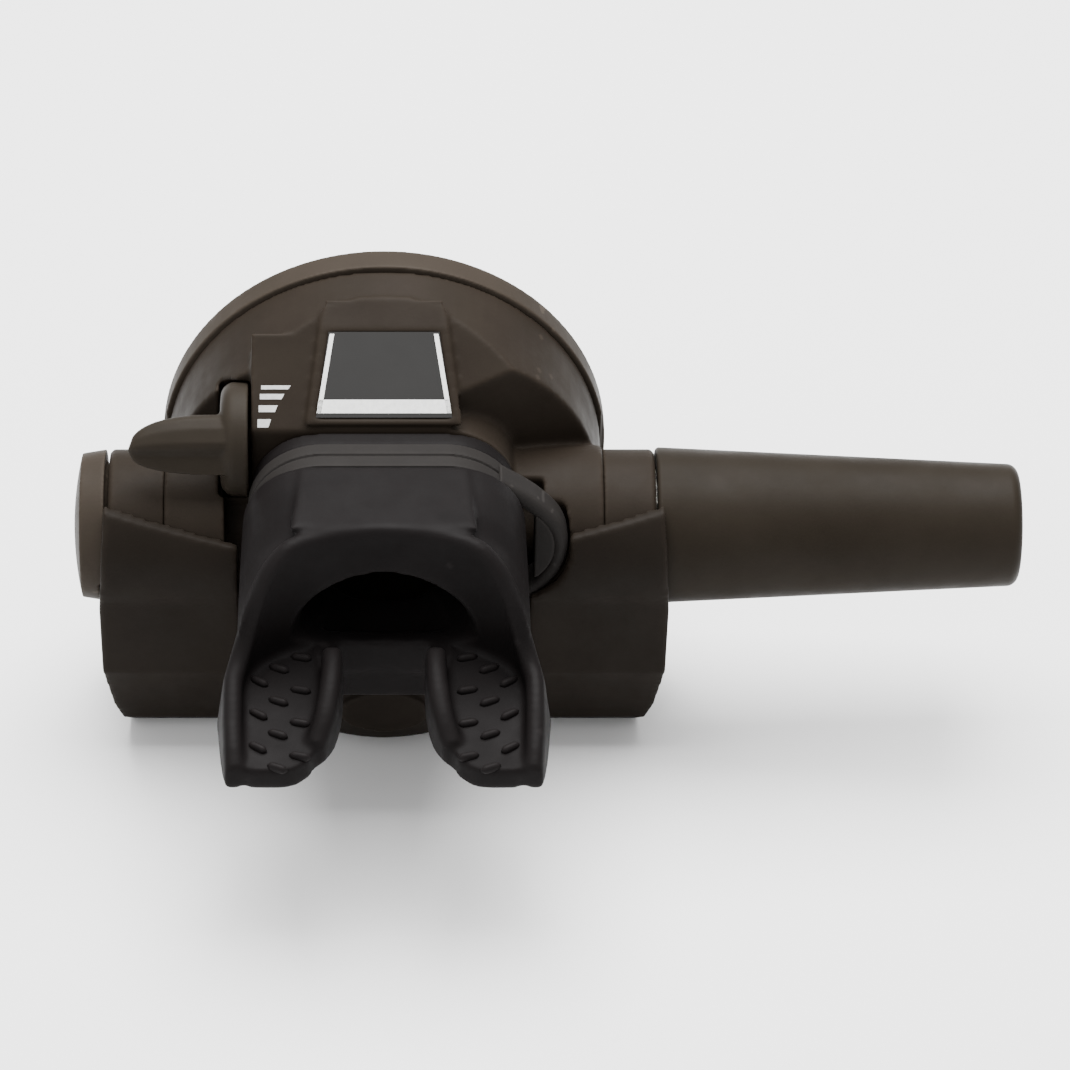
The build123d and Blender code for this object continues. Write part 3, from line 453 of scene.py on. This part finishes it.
def flange_stations():
    """Stations round the flange's U, from one tip to the other."""
    stations = []
    for x, y, turn in flange_plan():
        back = (FLANGE_FRONT_Y - y) / MM
        top = curve_through(
            back, (0, 25.4), (2.0, 24.9), (3.8, 24.0), (5.4, 21.6), (6.8, 18.8), (8.2, 14.5), (10.3, 8.8),
            (12.8, 5.6), (16, 4.6), (22, 2.8), (29, 0.4), (33, -1.8),
        )
        foot = curve_through(back, (0, -7.0), (8.0, -9.5), (18.0, -9.0), (33.0, -6.8))
        flare = curve_through(back, (0, 0.0), (5, 1.0), (10, 1.6), (18, 0.2), (33, 0.0)) * MM
        tuck = curve_through(back, (0, 0.0), (8, 0.6), (14, 1.2), (33, 0.5)) * MM
        outward = Vector((math.sin(turn), math.cos(turn) * 0.3, 0))
        stations.append((
            Vector((x, y, AXIS + foot * MM)) + outward * flare,
            Vector((x, y, AXIS + top * MM)) - outward * tuck,
            WALL_HALF,
        ))
    mirrored = []
    for foot, top, half in reversed(stations[1:]):
        mirrored.append((Vector((-foot.x, foot.y, foot.z)), Vector((-top.x, top.y, top.z)), half))
    return mirrored + stations


def platform_top(y):
    """Height of the bite platform's top above the barrel's axis, falling towards the tips."""
    return 2.0 * MM + (y + 32 * MM) * 4.5 / 33


def platform(side):
    """One bite platform, between the flange and the inner wall, with a round end."""
    outline = []
    for x, y in (
        (8.4, -33.0), (8.2, -48.0), (8.6, -53.0), (9.8, -57.0), (11.6, -60.0), (12.9, -62.4), (15.4, -64.4),
        (18.4, -65.0), (22.5, -64.9), (25.5, -63.0), (26.8, -50.0), (25.0, -42.0), (21.0, -36.5),
        (15.0, -33.5),
    ):
        outline.append((side * x * MM, y * MM))
    points = []
    for drop in (0.0, PLATFORM_T):
        points += [(x, y, AXIS + platform_top(y) - drop) for x, y in outline]
    return piece_from("platform", points, rings_to_faces(2, len(outline)))


def inner_wall(side, steps=24):
    """The wall along the platform's inner edge that the teeth close behind."""
    stations = []
    for i in range(steps + 1):
        t = i / steps
        y = (-36.6 - 22.9 * t) * MM
        x = curve_through(t, (0, 10.2), (0.2, 9.1), (0.5, 9.1), (0.8, 10.2), (1.0, 12.0)) * MM * side
        top = curve_through(t, (0, 4.6), (0.2, 6.4), (0.5, 5.8), (0.8, 3.0), (1.0, -0.5)) * MM
        foot = curve_through(t, (0, -3.0), (0.25, -6.0), (0.75, -7.0), (1.0, -6.0)) * MM
        stations.append((Vector((x, y, AXIS + foot)), Vector((x, y, AXIS + top)), INNER_WALL_HALF))
    return strip("inner_wall", stations)


def mouth_body():
    """The collar, the clamp's bed and the block behind the flange, with a pocket for the spigot."""
    rings = []
    for y, half_w, half_h, corner in (
        # collar
        (COLLAR_Y, 23.3, 17.8, 12.0), (-4.5, 23.5, 18.0, 12.0), (-7.9, 23.5, 18.0, 12.0),
        # clamp's bed
        (-8.2, 22.8, 17.3, 11.5), (-8.4, 22.7, 17.2, 11.4), (-14.9, 22.7, 17.2, 11.4),
        # block
        (-15.0, 24.2, 18.3, 11.8), (-15.6, 24.8, 18.9, 12.0), (-20.0, 24.9, 19.0, 12.5),
        (-27.0, 25.2, 19.0, 15.5), (-31.0, 25.4, 18.9, 18.4),
    ):
        rings.append([(x, y, z) for x, z in rounded_ring(half_w, half_h, corner, NECK_RISE)])
    last = rings[-1]
    rings.append([(x, min(flange_y(x * MM) / MM, -31.5), z - (0.4 if z > 20 else 0)) for x, _, z in last])
    for y, share in ((-33.5, 0.5), (-19.0, 0.4)):
        rings.append([(x * share, y, NECK_RISE + (z - NECK_RISE) * share) for x, _, z in last])
    for y in (POCKET_Y, COLLAR_Y):
        rings.append([(x, y, z) for x, z in rounded_ring(*POCKET, NECK_RISE)])
    return piece_from("mouth_body", above_axis(rings), rings_to_faces(len(rings), len(last), closed=True))


def top_panel(chamfer=0.5):
    """The plain raised panel on the block's upper side, wider towards the flange."""
    rows = []
    for y, half in ((-15.7, 14.4), (-16.2, 14.8), (-25.0, 15.6), (-33.0, 16.4)):
        rows.append([
            (-half, y, PANEL_FOOT), (half, y, PANEL_FOOT),
            (half - chamfer, y, PANEL_TOP), (-half + chamfer, y, PANEL_TOP),
        ])
    return piece_from("top_panel", above_axis(rows), rings_to_faces(len(rows), 4))


def breathing_hole():
    """Cutter for the hole through the flange: an arch on a flatter foot, flared at its mouth."""
    rows = []
    for y, grow in ((-17.0, 0.0), (-31.0, 0.0), (-34.5, 0.4), (-36.0, 1.2), (-42.0, 3.0)):
        ring = []
        for k in range(HOLE_SIDES):
            turn = 2 * math.pi * k / HOLE_SIDES
            tall = HOLE_ABOVE + grow if math.sin(turn) > 0 else HOLE_BELOW
            ring.append(((HOLE_HALF + grow) * math.cos(turn), y, HOLE_RISE + tall * math.sin(turn)))
        rows.append(ring)
    return piece_from("hole_cutter", above_axis(rows), rings_to_faces(len(rows), HOLE_SIDES))


def mouthpiece():
    """One silicone skin over the body, panel, flange, platforms and walls, with the hole cut through."""
    mouth = joined("mouthpiece_soft", [
        mouth_body(), top_panel(), strip("flange", flange_stations()),
        platform(-1), platform(1), inner_wall(-1), inner_wall(1),
    ])
    soften(mouth, MOUTH_VOXEL, 0)
    cutter = breathing_hole()
    cut = mouth.modifiers.new("hole", "BOOLEAN")
    cut.object = cutter
    cut.operation = "DIFFERENCE"
    cut.solver = "EXACT"
    apply_modifiers(mouth)
    bpy.data.objects.remove(cutter)
    soften(mouth, MOUTH_VOXEL, 7)
    return finished(mouth, "mouth_silicone", "housing", "mouthpiece")


mouthpiece()


# ---- Bite ridges --------------------------------------------------------------------------------
RIDGE_PITCH = 7.6
RIDGE_LENGTH = 3.7 * MM
RIDGE_W = 1.5 * MM
RIDGE_RISE = 0.85 * MM
RIDGE_LIFT = 0.1 * MM           # of its middle above the platform
LAST_RIDGE_Y = -64.5


def bar(points, faces, middle, along, sections=9, sides=8):
    """Adds one low ridge, swelling from its rounded ends."""
    across = Vector((0, 0, 1)).cross(along).normalized()
    base = len(points)
    for i in range(sections):
        t = -1 + 2 * i / (sections - 1)
        swell = max(0.05, (1 - abs(t) ** 4)) ** 0.5
        for k in range(sides):
            turn = 2 * math.pi * k / sides
            points.append(
                middle + along * (t * RIDGE_LENGTH / 2) + across * (RIDGE_W / 2 * swell * math.cos(turn))
                + Vector((0, 0, RIDGE_RISE * swell * math.sin(turn)))
            )
    faces += [tuple(base + v for v in face) for face in rings_to_faces(sections, sides)]


def bite_ridges():
    """Three staggered columns of small ridges on each platform, the outer ones tilted more."""
    points, faces = [], []
    for side in (-1, 1):
        for x, first, tilt in ((14.4, -39.0, 14), (18.2, -41.6, 24), (21.6, -44.6, 34)):
            turn = math.radians(tilt)
            along = Vector((side * math.cos(turn), math.sin(turn), 0))
            y = first
            while y > LAST_RIDGE_Y:
                height = AXIS + platform_top(y * MM) + RIDGE_LIFT
                bar(points, faces, Vector((side * x * MM, y * MM, height)), along)
                y -= RIDGE_PITCH
    ridges = piece_from("bite_ridges", points, faces)
    ridges.data.shade_smooth()
    return finished(ridges, "mouth_silicone", "housing")


bite_ridges()


# ---- Clamp's keeper loop ------------------------------------------------------------------------
KEEPER_HALF = 1.55 * MM
KEEPER_VOXEL = 0.25 * MM


def keeper_loop(steps=40):
    """A thick rounded strap that leaves the band at its corner and curls round the tongue."""
    route = (
        (19.6, 19.6), (23.6, 17.0), (27.0, 14.2), (29.9, 10.6), (31.0, 6.4), (30.2, 2.0), (27.6, -2.0),
        (23.6, -5.2),
    )
    stations = []
    for i in range(steps + 1):
        t = i / steps * (len(route) - 1)
        x = curve_through(t, *((k, p[0]) for k, p in enumerate(route)))
        z = curve_through(t, *((k, p[1]) for k, p in enumerate(route)))
        near = Vector((x * MM, band_low.y, AXIS + z * MM))
        stations.append((near, Vector((near.x, band_high.y, near.z)), KEEPER_HALF))
    loop = strip("clamp_keeper_loop", stations)
    soften(loop, KEEPER_VOXEL, 5)
    return finished(loop, "clamp_plastic", "housing", "clamp_keeper")


keeper_loop()


# ---- Venturi lever ------------------------------------------------------------------------------
lever_low, lever_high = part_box("venturi_lever")
venturi_low, venturi_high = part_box("venturi_oring")
VENTURI_AXIS = (venturi_low + venturi_high) / 2
HUB_X = -24.0 * MM              # the hub's face beside the neck
HUB_R = 10.2 * MM
HUB_W = 5.0 * MM
HUB_SHOULDER = 2.6 * MM
SHAFT_R = 2.0 * MM
HUB_SIDES = 64
TURNED_TO_A_POINT = 1e-5        # radius that stands for none
PADDLE_FACING = math.radians(142)       # from forward, turning up
PADDLE_MID_R = 7.6
ROOT_SUNK = 2.0 * MM            # how deep the paddle's root lies in the hub
PADDLE_TIP = -2.2               # where the tip lies across the paddle
LEVER_VOXEL = 0.28 * MM


def venturi_hub():
    """The shaft's stub and the hub, with a round shoulder on its outer side."""
    profile = [(lever_high.x, 0.0), (lever_high.x, SHAFT_R), (HUB_X, SHAFT_R), (HUB_X, HUB_R)]
    steps = 8
    for i in range(steps + 1):
        turn = math.pi / 2 * i / steps
        x = HUB_X - HUB_W + HUB_SHOULDER - HUB_SHOULDER * math.sin(turn)
        profile.append((x, HUB_R - HUB_SHOULDER + HUB_SHOULDER * math.cos(turn)))
    profile.append((HUB_X - HUB_W, 0.0))
    points = []
    for x, r in profile:
        r = max(r, TURNED_TO_A_POINT)
        for k in range(HUB_SIDES):
            turn = 2 * math.pi * k / HUB_SIDES
            y, z = VENTURI_AXIS.y + r * math.cos(turn), VENTURI_AXIS.z + r * math.sin(turn)
            points.append(Vector((x, y, z)))
    return piece_from("hub", points, rings_to_faces(len(profile), HUB_SIDES))


def venturi_paddle(rows=22):
    """A leaf-shaped paddle, crested along its middle and scooped below."""
    facing = PADDLE_FACING
    out = Vector((0, math.cos(facing), math.sin(facing)))
    rise = Vector((0, math.cos(facing - math.pi / 2), math.sin(facing - math.pi / 2)))
    root_x, tip_x = HUB_X - ROOT_SUNK, lever_low.x
    points = []
    for i in range(rows):
        along = i / (rows - 1)
        leaf = max(0.0, 1 - along ** 3.2) ** 0.45
        top, foot, crest = PADDLE_TIP + 6.6 * leaf, PADDLE_TIP - 4.4 * leaf, PADDLE_TIP + 0.9 * leaf
        thick = 0.3 + 0.7 * leaf
        section = (
            (6.6, top), (8.2, top - 0.7 * leaf), (9.4, top - 2.6 * leaf), (9.9, crest + 0.5 * leaf),
            (9.5, crest - 0.8 * leaf), (8.4, crest - 1.8 * leaf), (8.0, foot + 1.6 * leaf), (7.6, foot),
            (6.4, foot + 0.5 * leaf), (5.6, crest - leaf), (5.6, crest + 2.0 * leaf),
        )
        for a, b in section:
            a = PADDLE_MID_R + (a - PADDLE_MID_R) * thick
            point = VENTURI_AXIS + out * (a * MM) + rise * (b * MM)
            points.append(Vector((root_x + (tip_x - root_x) * along, point.y, point.z)))
    return piece_from("paddle", points, rings_to_faces(rows, len(section)))


lever = joined("venturi_lever_moulded", [venturi_hub(), venturi_paddle()])
soften(lever, LEVER_VOXEL, 9)
finished(lever, "lever_plastic", "venturi", "venturi_lever")


# ---- Print on the case --------------------------------------------------------------------------
def on_surface(target, x, y, lift):
    """The point above (x, y) on a piece's upper surface, lifted off it."""
    hit, point, normal, _ = target.ray_cast(Vector((x, y, cad_box[1].z + 0.01)), Vector((0, 0, -1)))
    if not hit:
        raise ValueError(f"no surface under {x}, {y}")
    return point + normal * lift


def printed(name, target, corners, material, across=12, lift=0.05 * MM):
    """A printed four-sided patch that follows the surface under it."""
    a, b, c, d = (Vector((x * MM, y * MM)) for x, y in corners)
    points = []
    for i in range(across + 1):
        for j in range(across + 1):
            u, v = i / across, j / across
            flat = a.lerp(b, u).lerp(d.lerp(c, u), v)
            points.append(on_surface(target, flat.x, flat.y, lift))
    faces = []
    for i in range(across):
        for j in range(across):
            k = i * (across + 1) + j
            faces.append((k, k + 1, k + across + 2, k + across + 1))
    piece = piece_from(name, points, faces)
    piece.data.shade_smooth()
    paint(piece, material)
    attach(piece, "housing")
    return piece


label = nodes["label_plate"]
label_low, label_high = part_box("label_plate")
NEAR_HALF = label_high.x / MM   # half the label's width at its near edge
FAR_HALF = 9.8
NEAR_Y = label_low.y / MM + 0.6
FAR_Y = label_high.y / MM
BORDER = 0.8
NEAR_BORDER = 1.9
INSET = 0.12                    # from the plate's edge to the ink
FAR_INSET = 0.2
FAR_BARE = 0.8                  # left bare at the far edge
SCALE_STARTS = (-3.4, -1.25, 0.55, 1.95)


def half_at(y):
    """Half the label's width at a place along it."""
    return NEAR_HALF + (FAR_HALF - NEAR_HALF) * (y - NEAR_Y) / (FAR_Y - NEAR_Y)


def label_borders():
    """White borders along the label's sides and its near edge."""
    end_y = FAR_Y - FAR_BARE
    for side, name in ((-1, "left"), (1, "right")):
        near, far = side * (half_at(NEAR_Y) - INSET), side * (half_at(FAR_Y) - FAR_INSET)
        inner_near, inner_far = near - side * BORDER, far - side * BORDER
        corners = ((near, NEAR_Y), (far, end_y), (inner_far, end_y), (inner_near, NEAR_Y))
        printed("label_border_" + name, label, corners, WHITE_INK)
    inner_y = NEAR_Y + NEAR_BORDER
    near, far = half_at(NEAR_Y) - INSET, half_at(inner_y) - INSET
    corners = ((-near, NEAR_Y), (near, NEAR_Y), (far, inner_y), (-far, inner_y))
    printed("label_border_near", label, corners, WHITE_INK)


def scale_bars(skew=0.5):
    """Four bars beside the venturi lever, longer and thinner going up the slope."""
    case_shell = bpy.data.objects["case_moulded"]
    for i, y in enumerate(SCALE_STARTS):
        deep = 1.15 - 0.2 * i
        start = -22.3 + 0.2 * i
        end = start + 1.9 + 0.95 * i
        corners = ((start, y), (end, y), (end + skew, y + deep), (start, y + deep))
        printed(f"scale_bar_{i}", case_shell, corners, GREY_INK)


label_borders()
scale_bars()

# ---- Floor, light and camera --------------------------------------------------------------------
FLOOR_HALF = 3
floor_corners = [(x * FLOOR_HALF, y * FLOOR_HALF, 0) for x, y in ((-1, -1), (1, -1), (1, 1), (-1, 1))]
floor = piece_from("floor", floor_corners, [(0, 1, 2, 3)])
floor_shader = Shader("floor", 0.7)
floor_cloud = floor_shader.noise(4)
floor_shader.colour(floor_shader.ramp(floor_cloud, (0.3, (0.88, 0.88, 0.88)), (0.7, (0.9, 0.9, 0.9))))
paint(floor, floor_shader.material)

world = bpy.data.worlds.new("studio")
bpy.context.scene.world = world
world.use_nodes = True
world.node_tree.nodes["Background"].inputs["Color"].default_value = (1.0, 1.0, 1.0, 1)
world.node_tree.nodes["Background"].inputs["Strength"].default_value = 1.0


def softbox(name, place, target, size, power):
    """A square lamp that faces a point."""
    lamp = bpy.data.lights.new(name, "AREA")
    lamp.shape = "SQUARE"
    lamp.size = size
    lamp.energy = power
    thing = bpy.data.objects.new(name, lamp)
    bpy.context.scene.collection.objects.link(thing)
    thing.location = place
    thing.rotation_euler = (Vector(target) - Vector(place)).to_track_quat("-Z", "Y").to_euler()


middle = (cad_box[0] + cad_box[1]) / 2
softbox("top_light", middle + Vector((0.0, 0.25, 0.8)), middle, 0.8, 32)
softbox("front_light", middle + Vector((-0.5, -0.7, 0.6)), middle, 0.6, 3)

ELEVATION = math.radians(38)
DISTANCE = 0.95                 # from the barrel's axis to the camera
LOWERED = 1.8 * MM              # how far the picture's middle lies below the axis
PIXELS_PER_METRE = 5570         # at the barrel's axis, in a picture 1070 pixels wide
PICTURE = 1070
SIDEWAYS = 27.1 * MM            # how far the picture's middle lies beyond the mid plane

camera = bpy.data.cameras.new("camera")
camera.sensor_width = 36
camera.lens = camera.sensor_width * PIXELS_PER_METRE * DISTANCE / PICTURE
camera.shift_x = SIDEWAYS * PIXELS_PER_METRE / PICTURE
eye = bpy.data.objects.new("camera", camera)
bpy.context.scene.collection.objects.link(eye)
back = Vector((0, -math.cos(ELEVATION), math.sin(ELEVATION)))
up = Vector((0, math.sin(ELEVATION), math.cos(ELEVATION)))
eye.location = Vector((0, 0, AXIS)) + back * DISTANCE - up * LOWERED
eye.rotation_euler = (math.pi / 2 - ELEVATION, 0, 0)
bpy.context.scene.camera = eye
